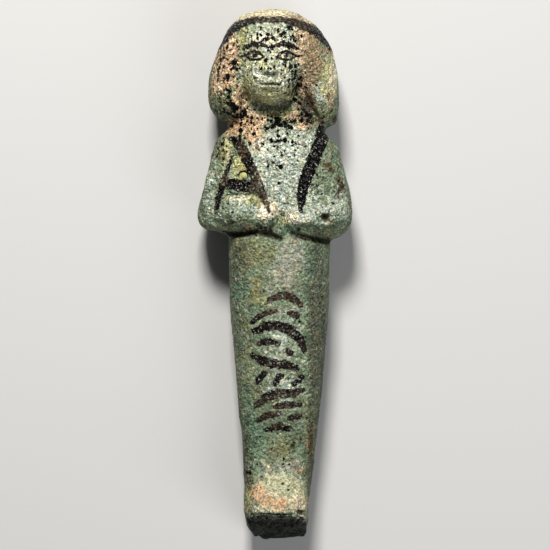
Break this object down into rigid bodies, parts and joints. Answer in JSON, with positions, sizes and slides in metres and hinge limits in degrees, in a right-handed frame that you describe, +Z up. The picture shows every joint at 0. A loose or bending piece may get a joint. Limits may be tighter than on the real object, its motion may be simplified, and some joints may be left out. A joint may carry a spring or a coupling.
{
  "type": "ushabti figurine",
  "caption": "Small mummiform funerary figurine in worn green glazed faience, with a bag wig, forearms laid across the waist and painted black details; it lies on its flat back.",
  "frame": {"origin": "middle of the figure's length and width, at the flat back it lies on", "axes": "+Y from the feet to the head, +Z up out of the face and chest, +X to the viewer's right"},
  "size_m": [0.032, 0.11, 0.0258],
  "materials": {
    "faience": "worn, gritty, semi-matt green glaze with black painted details"
  },
  "bodies": {
    "root": {"ushabti": "faience"}
  },
  "joints": []
}
